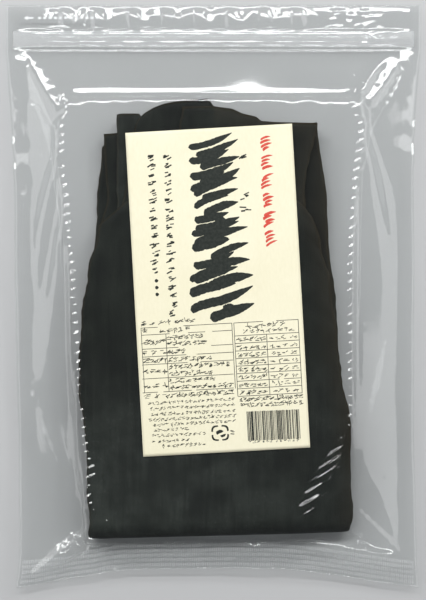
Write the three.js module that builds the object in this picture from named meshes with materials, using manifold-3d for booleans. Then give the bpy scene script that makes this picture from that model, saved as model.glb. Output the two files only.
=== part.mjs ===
// A clear zip bag of folded dried kelp with a paper label on its front, lying on its back.
// The bag is two films sealed together round the edge, so it is one solid here: the filled
// pouch, the flat seals round it, the zip with its strip, and the header above the zip.
// Millimetres, X across the bag, Y from its bottom seal up to its header, Z up off the table.
// The origin is the middle of the bag's footprint, at the table.
import * as THREE from "three";
import { mergeVertices } from "three/addons/utils/BufferGeometryUtils.js";
import Module from "manifold-3d";

const wasm = await Module();
wasm.setup();

// The flat bag.
const BAG_WIDTH = 205;
const BAG_LENGTH = 288;
const FOOT_NARROWING = 3.5; // each side comes in this far at the bottom, where the pouch is fullest
const SIDE_SEAL = 10;
const BOTTOM_SEAL = 15;
const BOTTOM_BOW = 8; // the filling draws the middle of the bottom edge up by this much
const SIDE_BOW = 1.2;
const SEAL_THICK = 1;
const SEAL_HEIGHT = 4; // how far the seals float above the table

// The filled pouch, between the two films.
const POUCH_HEIGHT = 15.6;
const ZIP_CLEARANCE = 6; // from the zip's centre down to where the pouch starts
// How far the flat top of the pouch keeps from each side of the flat bag.
const TOP_FACE = { left: 28.5, leftFoot: 40.5, right: 29.5, rightFoot: 35.5, foot: 28, head: 46 };
// How far the flat base keeps from each side of the flat bag.
const BASE_FACE = { left: 31, leftFoot: 34, right: 31, rightFoot: 34, foot: 30, head: 42 };
const TOP_CORNER = 15;
const BASE_CORNER = 12;
const SEAL_CORNER = 5;
const PUCKER_HEIGHT = 0.7; // the small gathers where the full pouch meets its seals
const PUCKERS = 44;

// The header and the zip.
const ZIP_FROM_TOP = 17;
const ZIP_WIDTH = 8;
const ZIP_THICK = 2.2;
const ZIP_END_GAP = 3;
const ZIP_RIB_HEIGHT = 0.7;
const ZIP_RIB_WIDTH = 1.4;
const ZIP_RIB_SPACING = 4;
const ZIP_SUNK = 0.5; // how deep the strip lies in the seal
const HEADER_TUBE = { fromTop: 7.2, width: 9.5, thick: 3.2, endGap: 11 };

// The label.
const LABEL_WIDTH = 82;
const LABEL_LENGTH = 159.2;
const LABEL_THICK = 0.3;
const LABEL_CENTRE = new THREE.Vector2(2.1, 3.1);
const LABEL_TURN = THREE.MathUtils.degToRad(3.2);

const GAP = 0.3; // between pieces that touch
const SIDE_STEPS = 20;
const CORNER_STEPS = 5;
const SLOPE_STEPS = 5;

// A closed mesh as a manifold-3d solid.
function solid(geometry) {
  const bare = geometry.index ? geometry.toNonIndexed() : geometry.clone();
  bare.deleteAttribute("normal");
  bare.deleteAttribute("uv");
  const merged = mergeVertices(bare, 1e-4);
  return new wasm.Manifold(
    new wasm.Mesh({
      numProp: 3,
      vertProperties: merged.attributes.position.array,
      triVerts: new Uint32Array(merged.index.array),
    }),
  );
}

// A manifold-3d solid as a geometry that three.js draws.
function geometryOf(made) {
  const mesh = made.getMesh();
  const position = new THREE.BufferAttribute(new Float32Array(mesh.vertProperties), 3);
  const indexed = new THREE.BufferGeometry().setAttribute("position", position);
  indexed.setIndex(new THREE.BufferAttribute(new Uint32Array(mesh.triVerts), 1));
  const faceted = indexed.toNonIndexed();
  faceted.computeVertexNormals();
  return faceted;
}

// Four corners, anticlockwise from bottom left, at the given distances inside the flat bag.
function quad(inset) {
  const halfWidth = BAG_WIDTH / 2;
  const halfLength = BAG_LENGTH / 2;
  return [
    new THREE.Vector2(-halfWidth + inset.leftFoot, -halfLength + inset.foot),
    new THREE.Vector2(halfWidth - inset.rightFoot, -halfLength + inset.foot),
    new THREE.Vector2(halfWidth - inset.right, halfLength - inset.head),
    new THREE.Vector2(-halfWidth + inset.left, halfLength - inset.head),
  ];
}

// The outline of a four-sided panel: its sides bow inwards, and its corners are round.
function outline(corners, radius, bows) {
  const points = [];
  const count = corners.length;
  corners.forEach((corner, i) => {
    const before = corners[(i + count - 1) % count].clone().sub(corner).normalize();
    const after = corners[(i + 1) % count].clone().sub(corner).normalize();
    const arc = new THREE.QuadraticBezierCurve(
      corner.clone().addScaledVector(before, radius),
      corner,
      corner.clone().addScaledVector(after, radius),
    );
    points.push(...arc.getPoints(CORNER_STEPS));
    const next = corners[(i + 1) % count];
    const start = corner.clone().addScaledVector(after, radius);
    const end = next.clone().addScaledVector(after, -radius);
    const inward = new THREE.Vector2(-after.y, after.x);
    for (let step = 1; step < SIDE_STEPS; step++) {
      const along = step / SIDE_STEPS;
      const bow = bows[i] * 4 * along * (1 - along);
      points.push(start.clone().lerp(end, along).addScaledVector(inward, bow));
    }
  });
  return points;
}

const SIDE_BOWS = [BOTTOM_BOW, SIDE_BOW, 0, SIDE_BOW];

// The bag's cut edge.
function edgeOutline() {
  const inset = { left: 0, right: 0, leftFoot: FOOT_NARROWING, rightFoot: FOOT_NARROWING };
  return outline(quad({ ...inset, foot: 0, head: 0 }), 1, SIDE_BOWS);
}

// Where the seals end and the pouch starts.
function pouchOutline() {
  const foot = SIDE_SEAL + FOOT_NARROWING;
  const head = ZIP_FROM_TOP + ZIP_CLEARANCE;
  const inset = { left: SIDE_SEAL, right: SIDE_SEAL, leftFoot: foot, rightFoot: foot };
  return outline(quad({ ...inset, foot: BOTTOM_SEAL, head }), SEAL_CORNER, SIDE_BOWS);
}

// The film's climb from a seal, 0, to the shoulder of a flat face, 1.
function slope(from, to, fromHeight, toHeight, pucker) {
  const rings = [];
  for (let step = 0; step <= SLOPE_STEPS; step++) {
    const across = step / SLOPE_STEPS;
    const climb = Math.sin((across * Math.PI) / 2) ** 1.25;
    const gather = pucker * Math.sin(across * Math.PI) * (1 - across);
    rings.push(
      from.map((point, i) => {
        const place = point.clone().lerp(to[i], across);
        const wave = Math.cos((2 * Math.PI * PUCKERS * i) / from.length);
        const height = THREE.MathUtils.lerp(fromHeight, toHeight, climb) + gather * wave;
        return new THREE.Vector3(place.x, place.y, height);
      }),
    );
  }
  return rings;
}

// A closed body from rings of equal length, bottom first, with a flat cap at each end.
function loft(rings) {
  const positions = [];
  const face = (...corners) => corners.forEach((p) => positions.push(p.x, p.y, p.z));
  const count = rings[0].length;
  for (let r = 0; r + 1 < rings.length; r++) {
    for (let i = 0; i < count; i++) {
      const j = (i + 1) % count;
      face(rings[r][i], rings[r][j], rings[r + 1][j]);
      face(rings[r][i], rings[r + 1][j], rings[r + 1][i]);
    }
  }
  const cap = (ring, up) => {
    const flat = ring.map((p) => new THREE.Vector2(p.x, p.y));
    THREE.ShapeUtils.triangulateShape(flat, []).forEach(([a, b, c]) => {
      if (up) face(ring[a], ring[b], ring[c]);
      else face(ring[c], ring[b], ring[a]);
    });
  };
  cap(rings[0], false);
  cap(rings[rings.length - 1], true);
  const attribute = new THREE.Float32BufferAttribute(positions, 3);
  return new THREE.BufferGeometry().setAttribute("position", attribute);
}

// The pouch, from its base on the table, out to the seals and up to its flat top.
function pouch() {
  const base = outline(quad(BASE_FACE), BASE_CORNER, [0, 0, 0, 0]);
  const rim = pouchOutline();
  const top = outline(quad(TOP_FACE), TOP_CORNER, [0, 0, 0, 0]);
  const under = SEAL_HEIGHT - SEAL_THICK / 2;
  const over = SEAL_HEIGHT + SEAL_THICK / 2;
  const lower = slope(rim, base, under, 0, -PUCKER_HEIGHT / 2).reverse();
  const upper = slope(rim, top, over, POUCH_HEIGHT, PUCKER_HEIGHT);
  return loft([...lower, ...upper]);
}

// The two films where they lie flat on each other, round the whole bag.
function seals() {
  const plate = new THREE.ExtrudeGeometry(new THREE.Shape(edgeOutline()), {
    depth: SEAL_THICK,
    bevelEnabled: false,
  });
  return plate.translate(0, 0, SEAL_HEIGHT - SEAL_THICK / 2);
}

// A bar along X, from its section across Y and Z.
function bar(section, length, y, z) {
  const geometry = new THREE.ExtrudeGeometry(section, { depth: length, bevelEnabled: false });
  geometry.translate(0, 0, -length / 2);
  geometry.rotateZ(Math.PI / 2);
  geometry.rotateY(Math.PI / 2);
  return geometry.translate(0, y, z);
}

// The air trapped in the header, above the zip.
function headerTube() {
  const { fromTop, width, thick, endGap } = HEADER_TUBE;
  const section = new THREE.Shape().absellipse(0, 0, width / 2, thick / 2, 0, 2 * Math.PI);
  const lens = new THREE.Shape(section.getPoints(8).slice(0, -1));
  return bar(lens, BAG_WIDTH - 2 * endGap, BAG_LENGTH / 2 - fromTop, SEAL_HEIGHT);
}

// The slot in the seal that the zip strip lies in.
function zipSlot() {
  const slot = new THREE.BoxGeometry(BAG_WIDTH + 2, ZIP_WIDTH + 2 * GAP, SEAL_THICK);
  const floor = SEAL_HEIGHT + SEAL_THICK / 2 - ZIP_SUNK;
  return slot.translate(0, BAG_LENGTH / 2 - ZIP_FROM_TOP, floor + SEAL_THICK / 2);
}

function bag() {
  const filled = solid(seals()).add(solid(pouch())).add(solid(headerTube()));
  return geometryOf(filled.subtract(solid(zipSlot())));
}

// The closed zip: a flat strip with the two ribs that press into each other.
function zipStrip() {
  const half = ZIP_WIDTH / 2;
  const strip = ZIP_THICK - ZIP_RIB_HEIGHT;
  const section = new THREE.Shape();
  section.moveTo(-half, 0);
  section.lineTo(half, 0);
  section.lineTo(half, strip);
  for (const side of [1, -1]) {
    const middle = (side * ZIP_RIB_SPACING) / 2;
    section.lineTo(middle + ZIP_RIB_WIDTH / 2, strip);
    section.lineTo(middle + ZIP_RIB_WIDTH / 4, ZIP_THICK);
    section.lineTo(middle - ZIP_RIB_WIDTH / 4, ZIP_THICK);
    section.lineTo(middle - ZIP_RIB_WIDTH / 2, strip);
  }
  section.lineTo(-half, strip);
  const floor = SEAL_HEIGHT + SEAL_THICK / 2 - ZIP_SUNK + GAP;
  const length = BAG_WIDTH - 2 * ZIP_END_GAP;
  return bar(section, length, BAG_LENGTH / 2 - ZIP_FROM_TOP, floor);
}

function label() {
  return new THREE.BoxGeometry(LABEL_WIDTH, LABEL_LENGTH, LABEL_THICK);
}

const film = new THREE.MeshStandardMaterial({
  color: 0xdfe4e4,
  roughness: 0.12,
  metalness: 0,
  transparent: true,
  opacity: 0.35,
});
const zipPlastic = new THREE.MeshStandardMaterial({
  color: 0xd3d8d8,
  roughness: 0.25,
  metalness: 0,
  transparent: true,
  opacity: 0.6,
});
const paper = new THREE.MeshStandardMaterial({ color: 0xfcf7d9, roughness: 0.75, metalness: 0 });

function piece(name, geometry, material) {
  const mesh = new THREE.Mesh(geometry, material);
  mesh.name = name;
  return mesh;
}

const kelpBag = new THREE.Group();
kelpBag.add(piece("bag", bag(), film));
kelpBag.add(piece("zip_strip", zipStrip(), zipPlastic));

const labelPiece = piece("label", label(), paper);
const labelHeight = POUCH_HEIGHT + GAP + LABEL_THICK / 2;
labelPiece.position.set(LABEL_CENTRE.x, LABEL_CENTRE.y, labelHeight);
labelPiece.rotation.z = LABEL_TURN;
kelpBag.add(labelPiece);

export default kelpBag;
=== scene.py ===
import math

import bmesh
import bpy
import numpy as np
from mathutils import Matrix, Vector
from mathutils.bvhtree import BVHTree


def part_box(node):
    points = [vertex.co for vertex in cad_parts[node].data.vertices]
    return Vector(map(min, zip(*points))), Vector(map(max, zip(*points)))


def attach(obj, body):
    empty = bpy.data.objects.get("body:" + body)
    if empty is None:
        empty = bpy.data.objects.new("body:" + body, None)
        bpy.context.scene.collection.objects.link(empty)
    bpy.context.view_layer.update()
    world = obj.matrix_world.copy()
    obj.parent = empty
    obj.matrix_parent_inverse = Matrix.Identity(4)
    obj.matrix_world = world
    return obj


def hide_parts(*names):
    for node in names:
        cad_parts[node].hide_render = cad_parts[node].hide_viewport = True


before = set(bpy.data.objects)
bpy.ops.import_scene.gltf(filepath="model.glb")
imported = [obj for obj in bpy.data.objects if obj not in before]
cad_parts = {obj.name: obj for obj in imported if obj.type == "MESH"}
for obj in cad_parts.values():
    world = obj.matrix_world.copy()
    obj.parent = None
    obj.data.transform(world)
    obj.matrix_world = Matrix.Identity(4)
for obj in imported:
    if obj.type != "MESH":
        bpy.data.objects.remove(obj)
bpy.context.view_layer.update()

scene = bpy.context.scene

# --- The two films ---------------------------------------------------------------------------
# Clear laminated film, front and back, heat sealed down both sides and along the foot, and shut
# by a zip under the header. The filled pouch is a cloth simulation of the flat bag swelling
# round its contents, pressed between the table below and a flat board above.

MM = 0.001
FILM_THICK = 0.1
SIDE_SEAL, FOOT_SEAL = 10.0, 15.0
SEAL_LEVEL = 4.0
FOOT_BOW = 5.8
LEFT_NARROWING, RIGHT_NARROWING = 5.2, 1.2
SPARE_LENGTH, SPARE_WIDTH = 8.5, 2.0
BOARD_LEVEL = 15.9
AIR_PRESSURE, EDGE_HOLD = 0.25, 0.6

bag_low, bag_high = (np.array(corner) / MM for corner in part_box("bag"))
zip_low, zip_high = (np.array(corner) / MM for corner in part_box("zip_strip"))
label_low, label_high = (np.array(corner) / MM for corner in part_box("label"))
HALF_WIDTH = bag_high[0]
FOOT_EDGE, HEAD_EDGE = bag_low[1], bag_high[1]
ZIP_FOOT, ZIP_HEAD = zip_low[1] - 1, zip_high[1]


def waves(x, y, length, seed, count=9):
    """Smooth seeded unevenness, about -1 to 1, whose waves are about the given length."""
    draw = np.random.default_rng(seed)
    total = np.zeros(np.broadcast(x, y).shape)
    for _ in range(count):
        heading, phase = draw.uniform(0, 2 * math.pi, 2)
        turns = 2 * math.pi / (length * draw.uniform(0.7, 1.5))
        total = total + np.sin(turns * (x * math.cos(heading) + y * math.sin(heading)) + phase)
    return total / math.sqrt(count) / 1.2


def zip_level(x):
    """How high the films' join lies along the zip, which isn't quite flat."""
    return SEAL_LEVEL + 1.0 + 0.3 * np.sin(x / 31 + 1) + 0.15 * np.sin(x / 13)


def laid_out(across, down):
    """Where a point of the bag ends up when its edge is drawn in by the filling: across is -1
    to 1, down is 0 at the zip to 1 at the foot."""
    drawn = down**1.6
    left = HALF_WIDTH - LEFT_NARROWING * drawn
    right = HALF_WIDTH - RIGHT_NARROWING * drawn
    x = across * np.where(across < 0, left, right)
    foot = FOOT_EDGE + FOOT_BOW * (1 - np.abs(across) ** 2.2)
    y = ZIP_FOOT + (foot - ZIP_FOOT) * down
    edge_wave = 0.5 * np.sin(y / 21 + 1) + 0.4 * np.sin(y / 9)
    z = SEAL_LEVEL + edge_wave * np.abs(across) ** 6 + 0.6 * np.sin(x / 17) * down**12
    z = z + (zip_level(x) - z) * np.clip(1 - 8 * down, 0, 1) ** 2
    return np.stack([x, y, z], -1)


def slump(x, y):
    """The share of its full height that the filling has: it runs down towards two of the
    bundle's corners, where the folded blades lie loosest."""
    low_right = (x - 67) * 0.887 - (y + 63) * 0.461
    low_left = -(x + 66) * 0.75 - (y + 106) * 0.66
    return (
        1 - 0.3 * np.clip(low_right / 25, 0, 1) ** 0.9 - 0.22 * np.clip(low_left / 14, 0, 1)
    )


def cut_flat(across, down):
    """The same point on the flat bag, before it was filled."""
    x = across * (HALF_WIDTH + SPARE_WIDTH * np.sin(math.pi * down))
    length = ZIP_FOOT - FOOT_EDGE + SPARE_LENGTH * (1 - np.abs(across) ** 2.2)
    return np.stack([x, ZIP_FOOT - down * length, np.full(x.shape, SEAL_LEVEL)], -1)


def squares(number):
    """The faces of a grid, from its points' numbers."""
    return np.stack(
        [number[:-1, :-1], number[:-1, 1:], number[1:, 1:], number[1:, :-1]], -1
    ).reshape(-1, 4)


CELL = 3.0
columns = round(2 * HALF_WIDTH / CELL) + 1
rows = round((ZIP_FOOT - FOOT_EDGE) / CELL) + 1
across, down = np.meshgrid(np.linspace(-1, 1, columns), np.linspace(1, 0, rows))
from_side = (1 - np.abs(across)) * HALF_WIDTH - SIDE_SEAL
from_foot = (1 - down) * (ZIP_FOOT - FOOT_EDGE) - FOOT_SEAL
from_zip = down * (ZIP_FOOT - FOOT_EDGE)
from_seal = np.minimum(np.minimum(from_side, from_foot), from_zip)
start = laid_out(across, down)
start_gap = 1.3 * np.clip(from_seal / 8, 0.05, 1)


LIFE_SIZE, BLOCK_EDGE = 0.01, 2.0
BLOCK_LOW, BLOCK_HIGH = 0.6, 14.8


def swell(frames=60, grow=30, scale=LIFE_SIZE):
    """Blows the flat bag up round a block the size of its contents. Returns the front and back
    films as grids of points. It runs ten times life size, where the solver is steadier."""
    sealed = from_seal < 0.01
    number = np.full((2, rows, columns), -1)
    number[0] = np.arange(rows * columns).reshape(rows, columns)
    loose = ~sealed
    number[1] = number[0]
    number[1][loose] = rows * columns + np.arange(loose.sum())
    front, back = start.copy(), start.copy()
    front[..., 2] += np.where(loose, start_gap, 0)
    back[..., 2] -= np.where(loose, start_gap, 0)
    points = np.concatenate([front.reshape(-1, 3), back[loose]])
    uneven = np.random.default_rng(4)
    points[:, 2] += uneven.normal(0, 0.03, len(points))
    flat = cut_flat(across, down)
    rest = np.concatenate([flat.reshape(-1, 3), flat[loose]])
    rest[:, :2] += uneven.normal(0, 0.03, (len(rest), 2))
    faces = []
    for side, turn in ((0, 1), (1, -1)):
        quads = squares(number[side])
        keep = np.ones(len(quads), bool) if side == 0 else ~squares(sealed).all(1)
        faces += quads[keep][:, ::turn].tolist()
    mesh = bpy.data.meshes.new("swelling_bag")
    mesh.from_pydata((points * scale).tolist(), [], faces)
    bag = bpy.data.objects.new("swelling_bag", mesh)
    scene.collection.objects.link(bag)
    groups = {name: bag.vertex_groups.new(name=name) for name in ("held", "swells", "stiff")}
    foot_corners = number[0][:2, [0, 1, -2, -1]].ravel()
    round_edge = (*number[0][:, 0], *number[0][:, -1], *number[0][0])
    groups["held"].add([int(i) for i in round_edge], EDGE_HOLD, "REPLACE")
    groups["held"].add([int(i) for i in (*number[0][-1], *foot_corners)], 1.0, "REPLACE")
    groups["stiff"].add([int(i) for i in number[0][sealed]], 1.0, "REPLACE")
    film_points = (*number[0][loose], *number[1][loose])
    groups["swells"].add([int(i) for i in film_points], 1.0, "REPLACE")
    bag.shape_key_add(name="Basis")
    flat_key = bag.shape_key_add(name="flat")
    flat_key.data.foreach_set("co", (rest * scale).ravel())
    flat_key.value = 0.0

    tools = []

    def against(name, points, faces, place=(0, 0, 0)):
        """Something that the bag can't pass through."""
        solid = bpy.data.meshes.new(name)
        solid.from_pydata((np.asarray(points, float) * scale).tolist(), [], faces)
        obj = bpy.data.objects.new(name, solid)
        scene.collection.objects.link(obj)
        obj.location = np.array(place) * scale
        obj.modifiers.new("blocks", "COLLISION")
        obj.collision.thickness_outer = 0.004
        obj.collision.thickness_inner = 0.05
        obj.collision.cloth_friction = 0.3
        obj.collision.damping = 0.2
        tools.append(obj)
        return obj

    box_faces = [(0, 2, 3, 1), (4, 5, 7, 6), (0, 1, 5, 4), (2, 6, 7, 3), (0, 4, 6, 2), (1, 3, 7, 5)]
    for name, low, high in (("table", -20, 0), ("board", BOARD_LEVEL, 30)):
        corners = [(x, y, z) for z in (low, high) for y in (-190, 190) for x in (-150, 150)]
        against(name, corners, box_faces)
    # The block: the outline of the contents and of the air beside them, with a rounded edge.
    outline = np.array([
        (-62, -120.5), (0, -120.3), (40, -119.3), (68, -117.5), (69, -90), (69, -50),
        (69, 0), (70, 48), (72, 68), (75, 84), (72, 96), (20, 97), (-30, 97), (-70, 96),
        (-77, 84), (-77, 68), (-74, 40), (-71.5, 8), (-68.5, -46), (-65, -85), (-63, -105),
    ], float)
    corners = np.linspace(0, 1, 4)[:-1, None]
    outline = np.concatenate([
        a * (1 - corners) + b * corners for a, b in zip(outline, np.roll(outline, -1, axis=0))
    ])
    middle = outline.mean(0)
    reach = outline - middle
    low, high, edge = BLOCK_LOW, BLOCK_HIGH, BLOCK_EDGE
    rings, count = [], len(outline)
    rim = [
        (edge * (1 - math.cos(lean)),
         (high - edge if lean > 0 else low + edge) + edge * math.sin(lean))
        for lean in np.linspace(-math.pi / 2, math.pi / 2, 8)
    ]
    for inset, flat_height in rim + [(inset, high) for inset in (9, 20, 32, 46)]:
        ring = middle + reach * (1 - inset / np.linalg.norm(reach, axis=1))[:, None]
        height = low + (flat_height - low) * slump(ring[:, 0], ring[:, 1])
        rings.append(np.column_stack([ring, height - SEAL_LEVEL]))
    walls = [
        (r * count + i, r * count + (i + 1) % count,
         (r + 1) * count + (i + 1) % count, (r + 1) * count + i)
        for r in range(len(rings) - 1)
        for i in range(count)
    ]
    lid = tuple(range((len(rings) - 1) * count, len(rings) * count))
    block = against(
        "contents", np.concatenate(rings), [*walls, tuple(range(count))[::-1], lid],
        (0, 0, SEAL_LEVEL),
    )
    for frame_number, size in ((1, 0.02), (grow, 1.0)):
        block.scale = (1, 1, size)
        block.keyframe_insert("scale", frame=frame_number)

    film = bag.modifiers.new("film", "CLOTH")
    cloth = film.settings
    cloth.quality = 6
    cloth.mass = 0.3
    cloth.tension_stiffness = cloth.compression_stiffness = 60
    cloth.shear_stiffness = 42
    cloth.bending_stiffness, cloth.bending_stiffness_max = 0.6, 60
    cloth.vertex_group_bending = "stiff"
    cloth.tension_damping = cloth.compression_damping = cloth.shear_damping = 10
    cloth.bending_damping = 1
    cloth.air_damping = 2
    cloth.vertex_group_mass = "held"
    cloth.rest_shape_key = flat_key
    cloth.use_pressure = True
    cloth.uniform_pressure_force = AIR_PRESSURE
    cloth.vertex_group_pressure = "swells"
    cloth.effector_weights.gravity = 0
    film.collision_settings.distance_min = 0.004
    film.collision_settings.collision_quality = 3
    film.point_cache.frame_start, film.point_cache.frame_end = 1, frames
    span = scene.frame_start, scene.frame_end
    scene.frame_start, scene.frame_end = 1, frames
    for frame_number in range(1, frames + 1):
        scene.frame_set(frame_number)
    settled = bag.evaluated_get(bpy.context.evaluated_depsgraph_get()).to_mesh()
    points = np.empty(len(settled.vertices) * 3)
    settled.vertices.foreach_get("co", points)
    points = points.reshape(-1, 3) / scale
    scene.frame_start, scene.frame_end = span
    scene.frame_set(1)
    for obj in (bag, *tools):
        bpy.data.objects.remove(obj, do_unlink=True)
    return points[number[0]], points[number[1]]


front_film, back_film = swell()


def smoothed(field, passes):
    """A grid of values, each drawn towards its four neighbours' a number of times."""
    for _ in range(passes):
        padded = np.pad(field, 1, "edge")
        field = (4 * field + padded[:-2, 1:-1] + padded[2:, 1:-1] + padded[1:-1, :-2]
                 + padded[1:-1, 2:]) / 8
    return field


TABLE_GAP, BACK_GAP, BOARD_GAP = 0.12, 0.3, 0.2
PRESS_EASE, FLAT_WITHIN = 0.12, 0.55


def pressed(film, low, high):
    """The film kept between the table and the board, with the solver's shivers taken out of
    its flat middle and its creases left as they are."""
    z = film[..., 2]
    z = low + PRESS_EASE * np.logaddexp(0, (z - low) / PRESS_EASE)
    z = high - PRESS_EASE * np.logaddexp(0, (high - z) / PRESS_EASE)
    rests_on = high if film[..., 2].mean() > SEAL_LEVEL + 1 else low
    level = (np.abs(z - rests_on) < FLAT_WITHIN).astype(float)
    for _ in range(3):
        padded = np.pad(level, 1, "edge")
        level = np.minimum.reduce([
            level, padded[:-2, 1:-1], padded[2:, 1:-1], padded[1:-1, :-2], padded[1:-1, 2:]
        ])
    level = smoothed(level, 4)
    calm = smoothed(z, 14)
    return np.concatenate([film[..., :2], (z * (1 - level) + calm * level)[..., None]], -1)


front_film = pressed(front_film, TABLE_GAP, BOARD_LEVEL - BOARD_GAP)
back_film = pressed(back_film, BACK_GAP, BOARD_LEVEL - BOARD_GAP)


def resampled(grid, at, axis):
    """The sheet's points at the given places along one axis, on smooth curves through them."""
    grid = np.moveaxis(grid, axis, 0)
    more = np.concatenate([2 * grid[:1] - grid[1:2], grid, 2 * grid[-1:] - grid[-2:-1]])
    i = np.clip(np.floor(at).astype(int), 0, len(grid) - 2)
    t = (at - i)[:, None, None]
    before, here, there, after = (more[i + n] for n in range(4))
    bend = 2 * before - 5 * here + 4 * there - after
    twist = 3 * (here - there) + after - before
    made = here + 0.5 * t * (there - before + t * (bend + t * twist))
    return np.moveaxis(made, 0, axis)


# Finer rows all over, and finer columns where the film creases along the filling's two sides.
FILM_PITCH, CREASE_PITCH, ROW_PITCH = 1.6, 0.75, 1.1
CREASE_FROM_MIDDLE, CREASE_ZONE = 68, 10
every = np.linspace(0, columns - 1, 4001)
from_middle = np.abs(every / (columns - 1) * 2 - 1) * HALF_WIDTH
at_crease = np.abs(from_middle - CREASE_FROM_MIDDLE) < CREASE_ZONE
count_to = np.cumsum(np.where(at_crease, 1 / CREASE_PITCH, 1 / FILM_PITCH))
count_to = (count_to - count_to[0]) * 2 * HALF_WIDTH / len(every)
column_at = np.interp(np.linspace(0, count_to[-1], round(count_to[-1]) + 1), count_to, every)
row_at = np.linspace(0, rows - 1, round((ZIP_FOOT - FOOT_EDGE) / ROW_PITCH) + 1)


def finer(grid):
    """A film's grid with those rows and columns."""
    return resampled(resampled(grid, row_at, 0), column_at, 1)


def outward(grid):
    """Unit normals of a grid of points whose rows run up and whose columns run right."""
    normal = np.cross(np.gradient(grid, axis=1), np.gradient(grid, axis=0))
    return normal / np.linalg.norm(normal, axis=-1, keepdims=True)


ZIP_LIFT, RIB_LIFT, PARTING = 0.98, 0.2, 0.45
PUCKERS_FROM, PUCKERS_TO, PUCKERS_UP = -80.0, 44, 5.7
LARGE_PUCKER, SMALL_PUCKER = (3.6, 6.3), (2.1, 5.2)


def header(pouch, side):
    """Carries a film on from the pouch's top row, over the zip, to the bag's cut top edge.
    Above the zip the two films part a little and pucker."""
    above = np.linspace(ZIP_FOOT, HEAD_EDGE, 35)[1:]
    top_row = pouch[-1]
    x, y = np.meshgrid(top_row[:, 0], above)
    z = np.repeat(top_row[None, :, 2], len(above), axis=0)
    ends = 1 - np.clip(np.abs(x) / HALF_WIDTH, 0, 1) ** 14
    over_zip = np.clip((y - ZIP_FOOT) / 1.4, 0, 1) * np.clip((ZIP_HEAD + 1.6 - y) / 1.8, 0, 1)
    over_zip = over_zip**2 * (3 - 2 * over_zip)
    crushed = 1 - 0.6 * np.clip((np.abs(x) - 88) / 9, 0, 1) ** 2
    zip_middle = (ZIP_FOOT + 1 + ZIP_HEAD) / 2
    ribs = sum(np.exp(-(((y - zip_middle - at) / 0.7) ** 2)) for at in (-2, 2))
    lift = over_zip * (ZIP_LIFT + RIB_LIFT * ribs + 0.05 * waves(x, y, 11, 14)) * crushed
    open_from, open_to = ZIP_HEAD + 0.3, HEAD_EDGE - 1.2
    parted = np.sin(np.clip((y - open_from) / (open_to - open_from), 0, 1) * math.pi)
    lift += PARTING * parted
    draw = np.random.default_rng(11 if side > 0 else 12)
    large = False
    centre = PUCKERS_FROM
    while centre < PUCKERS_TO:
        wide, tall = LARGE_PUCKER if large else SMALL_PUCKER
        lean = draw.uniform(0.16, 0.36) if large else draw.uniform(-0.3, -0.08)
        high = draw.uniform(1.5, 1.9) if large else draw.uniform(0.8, 1.2)
        dx, dy = x - centre, y - (open_from + PUCKERS_UP + draw.uniform(-0.3, 0.3))
        along = dy * math.cos(lean) - dx * math.sin(lean)
        aside = dx * math.cos(lean) + dy * math.sin(lean)
        narrowing = 1 - 0.25 * along / tall
        dome = np.exp(-((((aside / wide / narrowing) ** 2 + (along / tall) ** 2) ** 1.6)))
        lift += (high if side > 0 else 0.2) * dome * np.clip(parted * 2.4, 0, 1)
        centre += draw.uniform(7.4, 9.2)
        large = not large
    for centre in np.arange(-72, 60, 3.1) + draw.uniform(-0.9, 0.9, 43):
        bead = ((x - centre) / 0.9) ** 2 + ((y - open_from - draw.uniform(1.2, 2.0)) / 1.3) ** 2
        lift += draw.uniform(0.1, 0.45) * np.exp(-bead)
    crease = np.clip((x - 46) / 12, 0, 1) * np.clip(parted * 2, 0, 1)
    lift += 0.3 * np.abs(waves(x, y, 8, 13)) * crease
    crushed_end = np.exp(-(((x - 84) / 10) ** 2) - ((y - 130.5) / 4) ** 2)
    lift += 0.6 * crushed_end * (0.6 + 0.6 * np.sin(x * 0.9) * np.sin(y * 1.1))
    return np.concatenate([pouch, np.stack([x, y, z + side * lift * ends], -1)])


# The two creases: x, y and how wide the film is pinched there.
left_crease = [
    (-76, 101, 1.3), (-73, 95, 1.7), (-75, 83, 1.4), (-74.8, 67, 1.3), (-71.7, 40, 1.4),
    (-69.2, 7, 1.5), (-67.5, -16, 1.5), (-65.6, -51, 1.3), (-62.5, -76, 1.5), (-60, -86, 2.6),
    (-62, -97, 1.3), (-60, -104, 1.3), (-55, -109, 1.8), (-46, -114, 2.6),
]
right_crease = [
    (64, 101, 1.2), (68, 96, 1.4), (72.6, 81, 1.2), (69.8, 57, 1.4), (67.8, 28, 1.5),
    (67, -2, 1.5), (66.8, -63, 1.3), (63, -71, 1.9), (55, -86, 3.6), (48, -100, 3.8),
    (43, -110, 2.4),
]


TWIST_PITCH, TWIST_SLANT = 4.4, 0.55
PINCH_HIGH, TWIST_HIGH, PINCH_SPREAD = 0.35, 0.62, 1.25
FADE_IN, FADE_OUT = 8, 6


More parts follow.
